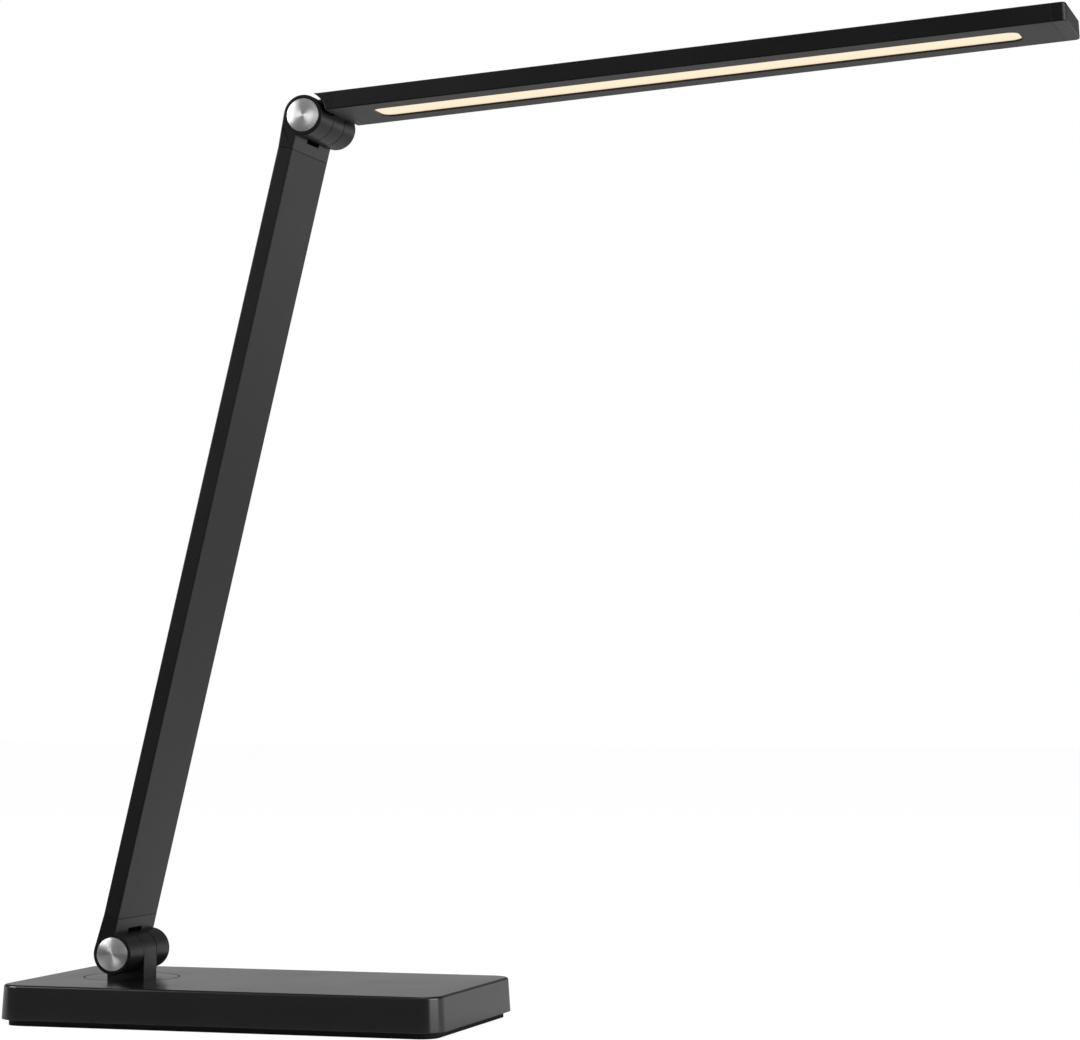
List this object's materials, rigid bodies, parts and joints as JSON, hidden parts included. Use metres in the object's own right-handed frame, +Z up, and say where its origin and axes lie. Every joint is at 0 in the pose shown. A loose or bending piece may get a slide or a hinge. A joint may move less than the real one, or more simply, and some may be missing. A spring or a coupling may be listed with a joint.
{
  "type": "folding desk lamp",
  "caption": "Folding desk lamp: weighted flat base with a turntable, leaning flat arm and a flat head with a light strip, joined by two friction hinges.",
  "frame": {"origin": "middle of the base's underside, on the surface that the lamp stands on", "axes": "+Z up, +X from the turntable end towards where the head reaches, +Y to the lamp's rear side; both hinge axes are parallel to Y"},
  "size_m": [0.463, 0.1098, 0.4272],
  "materials": {
    "moulded_charcoal": "satin moulded",
    "plinth_plastic": "matt black",
    "mat_rubber": "matt black",
    "steel": "zinc plated",
    "circuit_green": "solder mask",
    "inlet_black": "moulded",
    "lead_sleeve": "soft sleeve",
    "nylon_white": "natural nylon",
    "cast_charcoal": "powder coated casting",
    "end_cap_plastic": "satin moulded",
    "coated_aluminium": "powder coated extrusion",
    "spun_silver": "spun",
    "board_white": "white solder mask",
    "opal_diffuser": "opal, lit warm white"
  },
  "bodies": {
    "base": {"base_housing": "moulded_charcoal", "bottom_plate": "plinth_plastic", "foot_mat": "mat_rubber", "ballast_plate": "steel", "control_board": "circuit_green", "touch_board": "circuit_green", "dc_jack": "inlet_black", "base_screws": "steel", "base_lead": "lead_sleeve", "slip_ring": "nylon_white"},
    "turntable": {"turntable_disc": "moulded_charcoal", "swivel_bracket": "cast_charcoal", "bracket_screws": "steel", "wave_washer": "steel", "retaining_ring": "steel", "retainer_screws": "steel", "lower_bush": "nylon_white", "bracket_lead": "lead_sleeve"},
    "arm": {"arm_tube": "coated_aluminium", "lower_fork": "cast_charcoal", "upper_fork": "cast_charcoal", "lower_hinge_pin": "steel", "upper_hinge_pin": "steel", "lower_hinge_washers": "steel", "upper_hinge_washers": "steel", "lower_cap_near": "spun_silver", "lower_cap_far": "spun_silver", "upper_cap_near": "spun_silver", "upper_cap_far": "spun_silver", "arm_lead": "lead_sleeve"},
    "head": {"head_end_piece": "cast_charcoal", "upper_bush": "nylon_white", "head_housing": "coated_aluminium", "led_board": "board_white", "diffuser": "opal_diffuser", "head_end_cap": "end_cap_plastic", "head_lead": "lead_sleeve"}
  },
  "joints": [
    {"name": "base_swivel", "type": "hinge", "parent": "base", "child": "turntable", "pos_m": [-0.061, 0, 0.0177], "axis": [0, 0, 1], "range_deg": [-45, 45]},
    {"name": "arm_tilt", "type": "hinge", "parent": "turntable", "child": "arm", "pos_m": [-0.061, 0, 0.0292], "axis": [0, 1, 0], "range_deg": [-43.5, 76.5]},
    {"name": "head_tilt", "type": "hinge", "parent": "arm", "child": "head", "pos_m": [0.02736, 0, 0.39724], "axis": [0, 1, 0], "range_deg": [-72.9, 107.1]}
  ]
}
